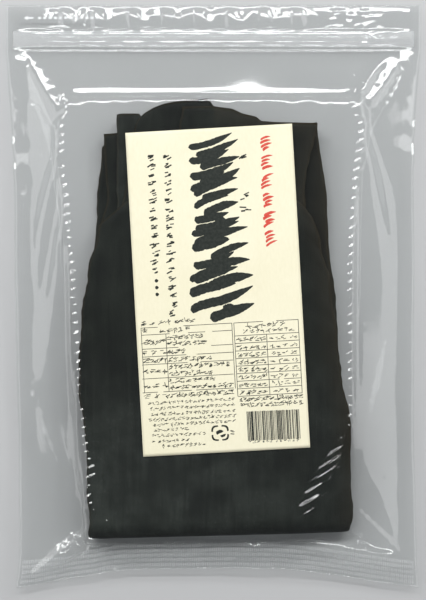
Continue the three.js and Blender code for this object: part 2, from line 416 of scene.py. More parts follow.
def pinched(x, y, line):
    """How high the film stands along a crease, where it is pinched and twisted like a rope."""
    nearest = np.full(x.shape, 99.0)
    along, wide = np.zeros(x.shape), np.ones(x.shape)
    run = 0.0
    for (x0, y0, wide0), (x1, y1, wide1) in zip(line[:-1], line[1:]):
        length = math.hypot(x1 - x0, y1 - y0)
        share = np.clip(((x - x0) * (x1 - x0) + (y - y0) * (y1 - y0)) / length**2, 0, 1)
        away = np.hypot(x - x0 - share * (x1 - x0), y - y0 - share * (y1 - y0))
        closer = away < nearest
        nearest = np.where(closer, away, nearest)
        along = np.where(closer, run + share * length, along)
        wide = np.where(closer, wide0 + share * (wide1 - wide0), wide)
        run += length
    turn = 2 * math.pi * (y - TWIST_SLANT * x) / TWIST_PITCH + 1.4 * waves(x, y, 34, 8)
    strength = (0.85 + 0.2 * waves(x, y, 23, 9)) * np.clip(along / FADE_IN, 0, 1)
    strength = strength * np.clip((run - along) / FADE_OUT, 0, 1)
    strength = strength * (1 + np.clip(wide - 2, 0, 1))
    ridge = np.exp(-((nearest / wide / PINCH_SPREAD) ** 2))
    return strength * ridge * (PINCH_HIGH + TWIST_HIGH * np.sin(turn))


PUCKER_PITCH, SHARP_BEND = 4.6, 0.05


def rippled(grid):
    """Adds the fine puckers that the film has along its sharpest bends."""
    x, y, z = np.moveaxis(grid, -1, 0)
    tilt = np.stack(np.gradient(z, axis=(0, 1))) / np.stack([
        np.maximum(np.gradient(y, axis=0), 0.1), np.maximum(np.gradient(x, axis=1), 0.1)
    ])
    bend = np.abs(np.gradient(tilt[1], axis=1) / np.maximum(np.gradient(x, axis=1), 0.1))
    sharp = np.clip(smoothed(bend, 6) / SHARP_BEND, 0, 1)
    pucker = np.sin(2 * math.pi * (y + 0.2 * x) / PUCKER_PITCH + 2.2 * waves(x, y, 17, 5))
    height = sharp * (0.05 * pucker + 0.04 * waves(x, y, 6.5, 6)) + 0.012 * waves(x, y, 14, 7)
    return grid + outward(grid) * height[..., None]


SLOPE_UNEVENNESS = 0.24


def creased(grid):
    """Adds the front film's two pinched creases and its unevenness below the zip."""
    x, y = grid[..., 0], grid[..., 1]
    height = pinched(x, y, left_crease) + pinched(x, y, right_crease)
    below_zip = np.clip((y - 96) / 6, 0, 1) * np.clip((121 - y) / 6, 0, 1)
    height += SLOPE_UNEVENNESS * below_zip * waves(x, y, 32, 15)
    return grid + outward(grid) * height[..., None]


def slab(outer, inner):
    """A closed thin part from two like grids of points, as points, faces and which faces are
    smooth. Seen from outside, the outer grid's columns run right and its rows run up."""
    high, wide = outer.shape[:2]
    total = high * wide
    n = np.arange(total).reshape(high, wide)
    face = squares(n)
    ring = np.concatenate([n[0, :-1], n[:-1, -1], n[-1, :0:-1], n[:0:-1, 0]])
    after = np.roll(ring, -1)
    rim = np.stack([ring, ring + total, after + total, after], -1)
    faces = np.concatenate([face, face[:, ::-1] + total, rim])
    points = np.concatenate([outer.reshape(-1, 3), inner.reshape(-1, 3)])
    return points, faces.tolist(), np.arange(len(faces)) < 2 * len(face)


def piece_of(name, *parts):
    """One piece from the points, in millimetres, the faces and the smooth flags of its parts."""
    faces, begun = [], 0
    for points, part_faces, _ in parts:
        faces += [tuple(i + begun for i in face) for face in part_faces]
        begun += len(points)
    mesh = bpy.data.meshes.new(name)
    mesh.from_pydata((np.concatenate([part[0] for part in parts]) * MM).tolist(), [], faces)
    mesh.polygons.foreach_set("use_smooth", np.concatenate([part[2] for part in parts]))
    made = bpy.data.objects.new(name, mesh)
    scene.collection.objects.link(made)
    return made


front_film = creased(rippled(header(finer(front_film), 1)))
back_film = rippled(header(finer(back_film), -1))
front_up, back_up = outward(front_film), outward(back_film)
WEB_GAP = 0.02
front_inside = front_film + front_up * WEB_GAP
front_outside = front_film + front_up * (WEB_GAP + FILM_THICK)
back_inside = back_film - back_up * WEB_GAP
back_outside = back_film - back_up * (WEB_GAP + FILM_THICK)
front_piece = piece_of("front_film", slab(front_outside, front_inside))
back_piece = piece_of("back_film", slab(back_outside[:, ::-1], back_inside[:, ::-1]))


class Reading:
    """One output of a material's nodes. Arithmetic on it adds the Math nodes it needs."""

    def __init__(self, finish, socket):
        self.finish, self.socket = finish, socket

    def by(self, operation, *terms):
        return self.finish.node("ShaderNodeMath", {"operation": operation}, dict(enumerate(terms)))

    def __add__(self, other):
        return self.by("ADD", self, other)

    def __radd__(self, other):
        return self.by("ADD", other, self)

    def __sub__(self, other):
        return self.by("SUBTRACT", self, other)

    def __rsub__(self, other):
        return self.by("SUBTRACT", other, self)

    def __mul__(self, other):
        return self.by("MULTIPLY", self, other)

    def __rmul__(self, other):
        return self.by("MULTIPLY", other, self)

    def __truediv__(self, other):
        return self.by("DIVIDE", self, other)

    def __pow__(self, other):
        return self.by("POWER", self, other)

    def clipped(self, low, high):
        """0 below low, 1 above high and smooth between."""
        return self.finish.node(
            "ShaderNodeMapRange",
            {"interpolation_type": "SMOOTHSTEP"},
            {"Value": self, "From Min": low, "From Max": high},
        )


class Finish:
    """The finish of one kind of surface, made of nodes."""

    def __init__(self, name):
        self.material = bpy.data.materials.new(name)
        self.material.use_nodes = True
        self.tree = self.material.node_tree
        self.tree.nodes.clear()

    def node(self, kind, settings=None, sockets=None, output=0):
        """Any node: its settings, then its sockets' values or links, then one of its outputs."""
        made = self.tree.nodes.new(kind)
        for key, value in (settings or {}).items():
            setattr(made, key, value)
        for key, value in (sockets or {}).items():
            if isinstance(value, Reading):
                self.tree.links.new(value.socket, made.inputs[key])
            else:
                made.inputs[key].default_value = value
        return Reading(self, made.outputs[output])

    def place(self, stretch=(1, 1, 1)):
        """The point of the piece, in metres, stretched along each axis."""
        point = self.node("ShaderNodeTexCoord", output="Object")
        return self.node("ShaderNodeMapping", {}, {"Vector": point, "Scale": stretch})

    def noise(self, point, scale, detail=3.0, roughness=0.55):
        return self.node(
            "ShaderNodeTexNoise", {},
            {"Vector": point, "Scale": scale, "Detail": detail, "Roughness": roughness},
        )

    def mix(self, share, colour, other):
        """One colour, or a share of the other."""
        return self.node(
            "ShaderNodeMix", {"data_type": "RGBA"}, {0: share, 6: colour, 7: other}, output=2
        )

    def bump(self, height, strength, distance):
        return self.node(
            "ShaderNodeBump", {}, {"Height": height, "Strength": strength, "Distance": distance}
        )

    def wear(self, surface):
        """Ends the tree at the surface and returns the material."""
        end = self.tree.nodes.new("ShaderNodeOutputMaterial")
        self.tree.links.new(surface.socket, end.inputs["Surface"])
        return self.material


FILM_ROUGHNESS, HEAD_ON_MIRROR = 0.09, 0.035


def clear_film():
    """Film lets light through and mirrors a little of it, more at a glancing angle."""
    film = Finish("clear_film")
    facing = film.node("ShaderNodeLayerWeight", {}, {"Blend": 0.5}, output="Facing")
    crinkle = film.noise(film.place(), 520, 2.0)
    normal = film.bump(crinkle, 0.25, 0.00003)
    through = film.node("ShaderNodeBsdfTransparent", {}, {"Color": (0.985, 0.988, 0.987, 1)})
    mirror = film.node(
        "ShaderNodeBsdfGlossy", {},
        {"Color": (1, 1, 1, 1), "Roughness": FILM_ROUGHNESS, "Normal": normal},
    )
    share = HEAD_ON_MIRROR + (1 - HEAD_ON_MIRROR) * facing**5
    return film.wear(film.node("ShaderNodeMixShader", {}, {0: share, 1: through, 2: mirror}))


film_finish = clear_film()
for piece in (front_piece, back_piece):
    piece.data.materials.append(film_finish)
    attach(piece, "root")
    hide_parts("bag")


def tree_over(grid):
    """A film's side as something that a straight line can be tried against."""
    face = squares(np.arange(grid[..., 0].size).reshape(grid.shape[:2]))
    return BVHTree.FromPolygons(grid.reshape(-1, 3).tolist(), face.tolist())


front_tree, back_tree = tree_over(front_inside), tree_over(back_inside)
outer_tree = tree_over(front_outside)


def height_on(tree, x, y, from_above=True, missing=None):
    """The height at which a straight drop, or a rise, meets a film."""
    begin, way = (60, -1) if from_above else (-60, 1)
    hit = tree.ray_cast(Vector((x, y, begin)), Vector((0, 0, way)))[0]
    return missing if hit is None else hit.z


# --- The kelp -----------------------------------------------------------------------------------
# Four long dried blades, each folded once over the others at the foot of the bag, so that eight
# leathery layers lie flat on each other. Each is one closed body: thick down its middle, thin and
# a little ruffled at its margins, dusted with the pale bloom that dries out of it. On the first
# blade's low front the pale veil is partly bloom and partly a painted haze that stands for the
# film's soft reflection.

KELP_THICK, KELP_CLEARANCE = 1.45, 0.1
FOLD_LEFT, FOLD_RIGHT = -112.4, -109.2
HEIGHTS = ((14.2, 1.4), (12.25, 3.15), (10.35, 5.0), (8.55, 6.8))


def margin(*points, soften=7):
    """A blade's edge as a smooth line: X at any Y, from points given up the blade."""
    y, x = np.array(points, float).T[:, np.argsort([p[0] for p in points])]
    level = np.arange(-135, 115, 1.0)
    rough = np.interp(level, y, x)
    softened = np.convolve(np.pad(rough, soften, "edge"), np.ones(soften) / soften, "same")
    smooth = softened[soften:-soften]
    return lambda at: np.interp(at, level, smooth)


def end_line(*points):
    """A blade's end: its height, Y, at shares of its width from the left margin."""
    share, y = np.array(points, float).T
    return lambda at: np.interp(at, share, y)


def blade(name, heights, front, back, seed, dust_and_painted_haze):
    """A folded blade. front and back are (left margin, right margin, end line). The last argument
    gives the pale veil, 0 to 1, for arrays of X and Y and for front or back: the bloom, and on the
    first blade's front a painted haze standing for the film's soft reflection as well."""
    front_height, back_height = heights
    middle_height = (front_height + back_height) / 2
    radius = (front_height - back_height) / 2
    share = np.linspace(0, 1, 62)
    fold = FOLD_LEFT + (FOLD_RIGHT - FOLD_LEFT) * share
    sheets = []
    for (left, right, end), height, run in (
        (back, back_height, np.linspace(1, 0.004, 92)),
        (front, front_height, np.linspace(0.004, 1, 96)),
    ):
        s, t = np.meshgrid(run, share, indexing="ij")
        y = fold + (end(t) - fold) * s
        x = left(y) + (right(y) - left(y)) * t
        reach = np.minimum(np.minimum(t, 1 - t) * (right(y) - left(y)), (end(t) - fold) * (1 - s))
        sheets.append((x, y, np.full(x.shape, height), reach))
    turn = np.linspace(-math.pi / 2, math.pi / 2, 13)[1:-1, None]
    back_sheet, front_sheet = sheets
    blend = (np.sin(turn) + 1) / 2
    x = back_sheet[0][-1] * (1 - blend) + front_sheet[0][0] * blend
    y = fold - radius * np.cos(turn)
    z = middle_height + radius * np.sin(turn) + 0 * x
    reach = np.minimum(back_sheet[3][-1], front_sheet[3][0]) + 0 * x
    x, y, z, reach = (
        np.concatenate(parts) for parts in zip(back_sheet, (x, y, z, reach), front_sheet)
    )
    path = np.arange(len(x))[:, None] * 2.3 + 0 * x
    ruffle = np.clip(1 - reach / 14, 0, 1) ** 2
    edge_wander = 0.5 * waves(path, 0 * path, 34, seed) + 0.2 * waves(path, 0 * path, 8, seed + 9)
    x = x + edge_wander * np.clip(1 - reach / 6, 0, 1)
    z = z + 0.22 * waves(x, y, 55, 21) + 0.3 * ruffle * waves(x, path, 22, seed + 1)
    z = z + 0.05 * waves(x * 4, path, 21, seed + 2)
    full = slump(x, y)
    floor = min(0.7, back_height / 2)
    z = floor + (z - floor) * full
    middle = np.stack([x, y, z], -1)
    up = outward(middle)
    half = KELP_THICK / 2 * (1 - 0.6 * np.clip(1 - reach / 5, 0, 1) ** 2)
    half = half * (1 + 0.06 * waves(x, path, 12, seed + 3)) * full
    outer, inner = middle + up * half[..., None], middle - up * half[..., None]
    for grid in (outer, inner):
        for point in grid.reshape(-1, 3):
            ceiling = height_on(front_tree, point[0], point[1])
            if ceiling is not None:
                floor = height_on(back_tree, point[0], point[1], False, 0.0)
                point[2] = min(max(point[2], floor + KELP_CLEARANCE), ceiling - KELP_CLEARANCE)
    piece = piece_of(name, slab(outer, inner))
    faces_front = np.arange(len(x))[:, None] + 0 * x > len(x) / 2
    layers = {
        # The pale veil: bloom, and on the first blade's front also a painted haze for the film's
        # reflection.
        "bloom_and_painted_haze": np.clip(dust_and_painted_haze(x, y, faces_front), 0, 1),
        "rim": np.clip(1 - reach / 2.0, 0, 1),
        "olive": np.clip(1 - reach / 24, 0, 1) ** 1.5 * np.where(x > 0, 1.0, 0.35),
        # Painted shade: this layer marks the blade's turn at the foot, which is painted darker.
        "fold": np.clip(1 - np.abs(np.arange(len(x))[:, None] + 0 * x - 97) / 8, 0, 1),
    }
    for layer, values in layers.items():
        stored = piece.data.attributes.new(layer, "FLOAT", "POINT")
        stored.data.foreach_set("value", np.tile(values.ravel(), 2).astype(np.float32))
    return piece


def kelp_surface():
    """Near-black green, leathery and mostly matt, streaked and mottled along the blade, olive
    towards its margins, with the pale bloom lying in patches and specks. Round the fold at the
    foot it is painted darker, as painted shade; the pale veil on the first blade's low front is
    partly bloom and partly a painted haze standing for the film's soft reflection."""
    kelp = Finish("dried_kelp")
    point = kelp.place()
    along = kelp.place((1, 0.07, 1))
    bloom_and_painted_haze, rim, fold, olive_zone = (
        kelp.node("ShaderNodeAttribute", {"attribute_name": layer}, output="Fac")
        for layer in ("bloom_and_painted_haze", "rim", "fold", "olive")
    )
    streak = kelp.noise(along, 300, 5.0, 0.65)
    mottle = kelp.noise(point, 55, 5.0, 0.6)
    blotch = kelp.noise(point, 18, 3.0)
    grain = kelp.noise(point, 1500, 2.0)
    speck = kelp.noise(point, 1300, 2.0, 0.7)
    dark, green = (0.0022, 0.0036, 0.0026, 1), (0.0078, 0.0105, 0.0072, 1)
    colour = kelp.mix((0.5 * streak + 0.6 * mottle - 0.05).clipped(0.34, 0.66), dark, green)
    brown = (olive_zone * (0.4 + blotch)).clipped(0.25, 1.1)
    colour = kelp.mix(brown * 0.75, colour, (0.0165, 0.0135, 0.007, 1))
    colour = kelp.mix(rim.clipped(0.3, 1.0) * 0.6, colour, (0.03, 0.023, 0.012, 1))
    # Painted shade: the blade is painted near-black round its fold, where the bend turns from the
    # light.
    colour = kelp.mix(fold.clipped(0.2, 1.0) * 0.7, colour, (0.0025, 0.0024, 0.002, 1))
    patches = (0.55 * mottle + 0.25 * streak + 0.35 * blotch - 0.12).clipped(0.36, 0.62)
    # The veil is the bloom, with a painted haze standing for the film's soft reflection on the
    # first blade's low front.
    veil = bloom_and_painted_haze * (0.3 + 0.7 * patches)
    colour = kelp.mix(veil * 0.8, colour, (0.04, 0.047, 0.042, 1))
    flecks = speck.clipped(0.6, 0.8) * (0.1 + 0.9 * bloom_and_painted_haze) * patches
    colour = kelp.mix(flecks * 0.7, colour, (0.17, 0.185, 0.165, 1))
    roughness = 0.46 + 0.2 * veil + 0.16 * streak
    height = streak * 0.5 + mottle * 0.8 + grain * 0.1
    normal = kelp.bump(height, 0.8, 0.0007)
    surface = kelp.node(
        "ShaderNodeBsdfPrincipled", {},
        {"Base Color": colour, "Roughness": roughness, "Normal": normal,
         "Specular IOR Level": 0.12},
    )
    return kelp.wear(surface)


def no_dust(x, y, front):
    """Hardly any bloom, on either side."""
    return 0.12 + 0.1 * waves(x, y, 40, 31)


def front_bloom_and_painted_haze(x, y, front):
    """Pale over the front's low end, most of all towards the left: partly bloom and partly a
    painted haze standing for the film's soft reflection.
    """
    # Painted haze with the bloom, strongest at the low left, standing for the film's soft
    # reflection.
    low_left = np.exp(-(((x + 42) / 34) ** 2) - ((y + 92) / 38) ** 2)
    low = 0.35 * np.exp(-(((y + 95) / 30) ** 2))
    return np.where(front, 0.12 + 0.85 * low_left + low + 0.12 * waves(x, y, 30, 32), 0.25)


def panel_dust(x, y, front):
    """Bloom all over the front."""
    return np.where(front, 0.75 + 0.3 * waves(x, y, 18, 33), 0.05)


outer_left = margin(
    (-125, -60.5), (-100, -61.9), (-80, -61.9), (-66, -63.8), (-51, -65.8), (-31, -66.3),
    (-7, -64.8), (3, -63.3), (15, -60.9), (25, -57.9), (36, -55.9), (70, -56),
)
outer_right = margin(
    (-125, 68.6), (-85, 67.8), (-63, 67.3), (-51, 65.3), (-41, 63.3), (-26, 61.4), (-12, 59.4),
    (1, 57.9), (13, 55.9), (28, 52.5), (39, 48.6), (70, 47),
)
arch = end_line(
    (0, 35), (0.03, 38), (0.14, 47.6), (0.3, 56.5), (0.5, 62), (0.7, 59.5), (0.9, 50),
    (0.96, 45), (1, 38.7),
)
rear = (
    margin((-125, -59), (-60, -62), (0, -60), (60, -57), (90, -52)),
    margin((-125, 66), (-60, 64), (0, 60), (60, 54), (90, 49)),
    end_line((0, 74), (0.08, 82), (0.3, 87), (0.6, 84), (0.85, 86), (1, 79)),
)
second = (
    margin((-125, -56), (-20, -58), (20, -50), (60, -42), (78, -18), (94, -15.5), soften=3),
    margin((-125, 62), (-40, 58), (0, 51), (30, 45), (52, 44.6), (67, 47.1), (85, 51)),
    end_line(
        (0, 93.4), (0.22, 93.7), (0.37, 92.4), (0.45, 90), (0.55, 88.5), (0.59, 86.4),
        (0.69, 85.8), (1, 85.4),
    ),
)
second_back = (
    margin((-125, -55), (-40, -60), (20, -54), (80, -50)),
    margin((-125, 63), (-40, 58), (20, 52), (80, 47)),
    end_line((0, 70), (0.2, 79), (0.5, 82), (0.8, 76), (1, 70)),
)
third = (
    margin((-125, -54), (-30, -58), (20, -50), (45, -39.7), (82, -39.7), (98, -38), soften=3),
    margin((-125, 60), (-30, 54), (30, 46), (80, 43)),
    end_line(
        (0, 82), (0.015, 87), (0.05, 90.2), (0.1, 92.9), (0.16, 94.9), (0.22, 95.9),
        (0.29, 96.6), (0.43, 97.4), (0.47, 93.4), (0.52, 88), (1, 81),
    ),
)
third_back = (
    margin((-125, -53), (-30, -59), (40, -52), (80, -46)),
    margin((-125, 61), (-30, 56), (40, 48), (80, 46)),
    end_line((0, 66), (0.3, 76), (0.7, 79), (1, 74)),
)
fourth = (
    margin((-125, -52), (-20, -57), (25, -50), (38, -47.6), (92, -47.6), soften=3),
    margin((-125, 59), (-30, 53), (40, 42), (90, 38)),
    end_line((0, 89.6), (0.02, 90.2), (0.13, 90.2), (0.16, 86), (1, 80)),
)
fourth_back = (
    margin(
        (-125, -51), (-30, -61), (0, -59.5), (20, -56), (36, -55.5), (40, -54.5), (46, -52.6),
        (49, -52), (57, -52.7), (72, -53.5), (81, -54), soften=3,
    ),
    margin(
        (-125, 64), (-60, 62), (-30, 59.5), (-12, 59.4), (3, 58.9), (20, 56.9), (30, 56.4),
        (50, 55.9), (62, 54.5), (75, 52.5), (86, 51),
    ),
    end_line((0, 80.2), (0.06, 80.6), (0.1, 82), (0.5, 82), (0.9, 84.5), (1, 86)),
)
kelp_finish = kelp_surface()
blades = [
    blade("kelp_blade_1", HEIGHTS[0], (outer_left, outer_right, arch), rear, 41, front_bloom_and_painted_haze),
    blade("kelp_blade_2", HEIGHTS[1], second, second_back, 51, no_dust),
    blade("kelp_blade_3", HEIGHTS[2], third, third_back, 61, no_dust),
    blade("kelp_blade_4", HEIGHTS[3], fourth, fourth_back, 71, panel_dust),
]
for piece in blades:
    piece.data.materials.append(kelp_finish)
    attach(piece, "root")
    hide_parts("bag")


# --- The zip ------------------------------------------------------------------------------------
# The press-to-close strip welded between the two films under the header: a milky polythene tape
# with two proud ribs that lock together, crushed flat where the side seals cross it.

TAPE_TALL, TAPE_THICK = zip_high[1] - zip_low[1], 1.35
RIB_APART, RIB_WIDE, RIB_PROUD = 4.0, 0.75, 0.28
along_zip = np.linspace(zip_low[0] + 0.4, zip_high[0] - 0.4, 220)
around = []
for side in (1, -1):
    for y in np.linspace(-0.5, 0.5, 25) * side:
        y = y * TAPE_TALL
        rib = sum(
            max(0, 1 - ((y - at) / RIB_WIDE) ** 2) ** 0.5 for at in (-RIB_APART / 2, RIB_APART / 2)
        )
        taper = 1 - 0.75 * abs(2 * y / TAPE_TALL) ** 6
        around.append((y, side * (TAPE_THICK / 2 * taper + RIB_PROUD * rib - 0.12)))
around = np.array(around)[::-1]
zip_middle = (ZIP_FOOT + 1 + ZIP_HEAD) / 2
crushed = 1 - 0.62 * np.clip((np.abs(along_zip) - 88) / 9, 0, 1) ** 2
wander = 0.12 * waves(along_zip, 0 * along_zip, 60, 81)
level = zip_level(along_zip) + 0.05 * waves(along_zip, 0 * along_zip, 9, 82)
stations = np.stack([
    np.repeat(along_zip[:, None], len(around), 1),
    zip_middle + wander[:, None] + around[None, :, 0],
    level[:, None] + around[None, :, 1] * crushed[:, None],
], -1)
ring = len(around)
n = np.arange(stations.shape[0] * ring).reshape(-1, ring)
n_next = np.roll(n, -1, axis=1)
walls = np.stack([n[:-1], n_next[:-1], n_next[1:], n[1:]], -1).reshape(-1, 4)
zip_faces = [*walls.tolist(), n[0][::-1].tolist(), n[-1].tolist()]
zip_smooth = np.arange(len(zip_faces)) < len(walls)
zip_piece = piece_of("zip", (stations.reshape(-1, 3), zip_faces, zip_smooth))


def milky_plastic():
    """Thin polythene, mostly see-through, clouded white and softly glossy."""
    plastic = Finish("milky_plastic")
    cloud = plastic.noise(plastic.place((0.25, 1, 1)), 260, 3.0)
    through = plastic.node("ShaderNodeBsdfTransparent", {}, {"Color": (0.975, 0.977, 0.978, 1)})
    body = plastic.node(
        "ShaderNodeBsdfPrincipled", {},
        {"Base Color": plastic.mix(cloud, (0.84, 0.85, 0.86, 1), (0.93, 0.93, 0.93, 1)),
         "Roughness": 0.3 + 0.15 * cloud,
         "Normal": plastic.bump(cloud, 0.2, 0.0001)},
    )
    return plastic.wear(
        plastic.node("ShaderNodeMixShader", {}, {0: 0.1 + 0.14 * cloud, 1: through, 2: body})
    )


milky = milky_plastic()
zip_piece.data.materials.append(milky)
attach(zip_piece, "root")
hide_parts("zip_strip")


# --- The foot seal's embossing --------------------------------------------------------------------
# The heated jaws that close the foot press rows of fine short ribs into the joined films. Each rib
# is a tiny flat-topped pyramid of film, laid along the seal as it curves.

class Tree:
    """A geometry tree with named inputs, which makes one kind of repeated thing."""

    def __init__(self, name, **inputs):
        self.group = bpy.data.node_groups.new(name, "GeometryNodeTree")
        sockets = self.group.interface
        sockets.new_socket("Geometry", in_out="OUTPUT", socket_type="NodeSocketGeometry")
        self.names = {}
        for title, kind in inputs.items():
            made = sockets.new_socket(title, in_out="INPUT", socket_type="NodeSocket" + kind)
            self.names[title] = made.identifier
        self.inside = self.group.nodes.new("NodeGroupInput")

    def given(self, title):
        return next(s for s in self.inside.outputs if s.identifier == self.names[title])

    def node(self, kind, settings=None, sockets=None, output=0):
        """Any node: its settings, then its sockets' values or links, then one of its outputs."""
        made = self.group.nodes.new(kind)
        for key, value in (settings or {}).items():
            setattr(made, key, value)
        for key, value in (sockets or {}).items():
            if isinstance(value, bpy.types.NodeSocket):
                self.group.links.new(value, made.inputs[key])
            else:
                made.inputs[key].default_value = value
        return made.outputs[output]

    def by(self, operation, *terms):
        return self.node("ShaderNodeMath", {"operation": operation}, dict(enumerate(terms)))

    def ends_with(self, geometry, finish):
        """Makes the instances real, gives them their material and hands them out."""
        real = self.node("GeometryNodeRealizeInstances", {}, {"Geometry": geometry})
        geometry = self.node("GeometryNodeSetMaterial", {}, {"Geometry": real, "Material": finish})
        end = self.group.nodes.new("NodeGroupOutput")
        self.group.links.new(geometry, end.inputs[0])

    def grow(self, **values):
        """The plain mesh that the tree makes from these inputs."""
        seed_mesh = bpy.data.meshes.new("seed")
        carrier = bpy.data.objects.new("carrier", seed_mesh)
        scene.collection.objects.link(carrier)
        maker = carrier.modifiers.new("maker", "NODES")
        maker.node_group = self.group
        for title, value in values.items():
            maker[self.names[title]] = value
        seen = carrier.evaluated_get(bpy.context.evaluated_depsgraph_get())
        grown = bpy.data.meshes.new_from_object(seen)
        bpy.data.objects.remove(carrier, do_unlink=True)
        bpy.data.meshes.remove(seed_mesh)
        return grown


def settle(meshes, name, lay):
    """Joins flat meshes into one piece and lays it on a surface. lay takes points in
    millimetres, flat and with their heights, and gives their places."""
    gathered = bmesh.new()
    for mesh in meshes:
        gathered.from_mesh(mesh)
    finishes = list(meshes[0].materials)
    for mesh in meshes:
        bpy.data.meshes.remove(mesh)
    joined = bpy.data.meshes.new(name)
    gathered.to_mesh(joined)
    gathered.free()
    for finish in finishes:
        joined.materials.append(finish)
    points = np.empty(len(joined.vertices) * 3)
    joined.vertices.foreach_get("co", points)
    laid = lay(points.reshape(-1, 3) / MM) * MM
    joined.vertices.foreach_set("co", laid.ravel())
    joined.update()
    made = bpy.data.objects.new(name, joined)
    scene.collection.objects.link(made)
    return made


def on_sheet(grid, columns, rows, lift):
    """Places at fractional columns and rows of a grid of points, lifted along its normal."""
    up = outward(grid)
    high, wide = grid.shape[:2]
    columns, rows = np.clip(columns, 0, wide - 1.001), np.clip(rows, 0, high - 1.001)
    i, j = columns.astype(int), rows.astype(int)
    a, b = (columns - i)[:, None], (rows - j)[:, None]

    def blend(field):
        low = field[j, i] * (1 - a) + field[j, i + 1] * a
        high_side = field[j + 1, i] * (1 - a) + field[j + 1, i + 1] * a
        return low * (1 - b) + high_side * b

    return blend(grid) + blend(up) * lift[:, None]


emboss = Tree(
    "embossed_ribs",
    **{"Wide": "Float", "Tall": "Float", "Across": "Int", "Up": "Int", "Rib": "Vector",
       "Unevenness": "Float", "Seed": "Int", "Film": "Material"},
)
spots = emboss.node(
    "GeometryNodeMeshGrid", {},
    {"Size X": emboss.given("Wide"), "Size Y": emboss.given("Tall"),
     "Vertices X": emboss.given("Across"), "Vertices Y": emboss.given("Up")},
)
one_rib = emboss.node(
    "GeometryNodeMeshCone", {},
    {"Vertices": 4, "Radius Top": 0.18, "Radius Bottom": 0.7071, "Depth": 1.0},
)
one_rib = emboss.node(
    "GeometryNodeTransform", {}, {"Geometry": one_rib, "Rotation": (0, 0, math.pi / 4)}
)
least = emboss.by("SUBTRACT", 1.0, emboss.given("Unevenness"))
size = emboss.node(
    "FunctionNodeRandomValue", {"data_type": "FLOAT"},
    {2: least, 3: 1.0, 8: emboss.given("Seed")}, output=1,
)
rib_size = emboss.node(
    "ShaderNodeVectorMath", {"operation": "SCALE"}, {0: emboss.given("Rib"), 3: size}
)
ribs = emboss.node(
    "GeometryNodeInstanceOnPoints", {}, {"Points": spots, "Instance": one_rib, "Scale": rib_size}
)
emboss.ends_with(ribs, emboss.given("Film"))

SEAL_MARGIN, RIBS_FROM_SIDE = 1.3, 2.5
EMBOSS_PITCH, EMBOSS_ROW = 0.95, 2.45
RIB_SIZE = 0.55, 2.0, 0.13
emboss_wide = 2 * (HALF_WIDTH - RIBS_FROM_SIDE)
emboss_tall = FOOT_SEAL - 2 * SEAL_MARGIN
emboss_ribs = emboss.grow(
    Wide=emboss_wide * MM, Tall=(emboss_tall - EMBOSS_ROW) * MM,
    Across=round(emboss_wide / EMBOSS_PITCH) + 1, Up=round(emboss_tall / EMBOSS_ROW),
    Rib=tuple(side * MM for side in RIB_SIZE), Unevenness=0.45, Seed=3, Film=milky,
)


def film_column(x):
    """The film's column at a place across the flat bag."""
    return np.interp((x / HALF_WIDTH + 1) / 2 * (columns - 1), column_at, range(len(column_at)))


def on_foot_seal(points):
    """Flat places in the foot seal, centred in it, to places on the film's front."""
    up_rows = (points[:, 1] + FOOT_SEAL / 2) / (ZIP_FOOT - FOOT_EDGE) * (len(row_at) - 1)
    return on_sheet(front_outside, film_column(points[:, 0]), up_rows, points[:, 2] + 0.01)


foot_ribs = settle([emboss_ribs], "foot_seal_ribs", on_foot_seal)
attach(foot_ribs, "root")
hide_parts("bag")


# --- The header's printed marks ------------------------------------------------------------------
# Opaque white ink on the front film above the zip: an arrow to the end of the tear line, and the
# tear line itself as short dashes.

MARK_THICK, TEAR_LINE = 0.02, 137.6
DASH_LONG, DASH_HALF_TALL, DASH_PITCH = 1.5, 0.55, 2.6
flat_arrow = np.array([
    (-93.6, 0), (-91.6, 1.15), (-91.6, 0.4), (-88.9, 0.4), (-88.9, -0.4), (-91.6, -0.4),
    (-91.6, -1.15),
])


def flat_slab(outline, low, high):
    """A flat closed piece from its outline, which runs anticlockwise."""
    count = len(outline)
    points = [(x, y, z) for z in (low, high) for x, y in outline]
    sides = [(i, (i + 1) % count, (i + 1) % count + count, i + count) for i in range(count)]
    faces = [*sides, tuple(range(count))[::-1], tuple(range(count, 2 * count))]
    return np.array(points, float), faces, np.zeros(len(faces), bool)


def on_header(points):
    """Flat places in the header to places on the film's front."""
    header_rows = len(front_outside) - len(row_at)
    up_rows = (points[:, 1] - ZIP_FOOT) / (HEAD_EDGE - ZIP_FOOT) * header_rows + len(row_at) - 1
    return on_sheet(front_outside, film_column(points[:, 0]), up_rows, points[:, 2] + 0.03)


dashes = [
    [(x, -DASH_HALF_TALL), (x + DASH_LONG, -DASH_HALF_TALL), (x + DASH_LONG, DASH_HALF_TALL),
     (x, DASH_HALF_TALL)]
    for x in np.arange(-86.6, -57, DASH_PITCH)
]
flat_marks = [
    flat_slab(np.array(outline) + (0, TEAR_LINE), 0, MARK_THICK)
    for outline in (flat_arrow[::-1], *dashes)
]
header_marks = piece_of("header_marks", *((on_header(p), f, s) for p, f, s in flat_marks))
white_ink = Finish("white_film_ink")
ink_wear = white_ink.noise(white_ink.place(), 1500, 2.0)
header_marks.data.materials.append(
    white_ink.wear(white_ink.node(
        "ShaderNodeBsdfPrincipled", {},
        {"Base Color": white_ink.mix(ink_wear, (0.62, 0.64, 0.65, 1), (0.82, 0.83, 0.84, 1)),
         "Roughness": 0.5},
    ))
)
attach(header_marks, "root")
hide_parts("bag")


# --- The label ----------------------------------------------------------------------------------
# Uncoated cream paper stuck to the front film, a little crooked. It bridges the film's small
# hollows, so it is the film's own surface smoothed and raised until it clears it.

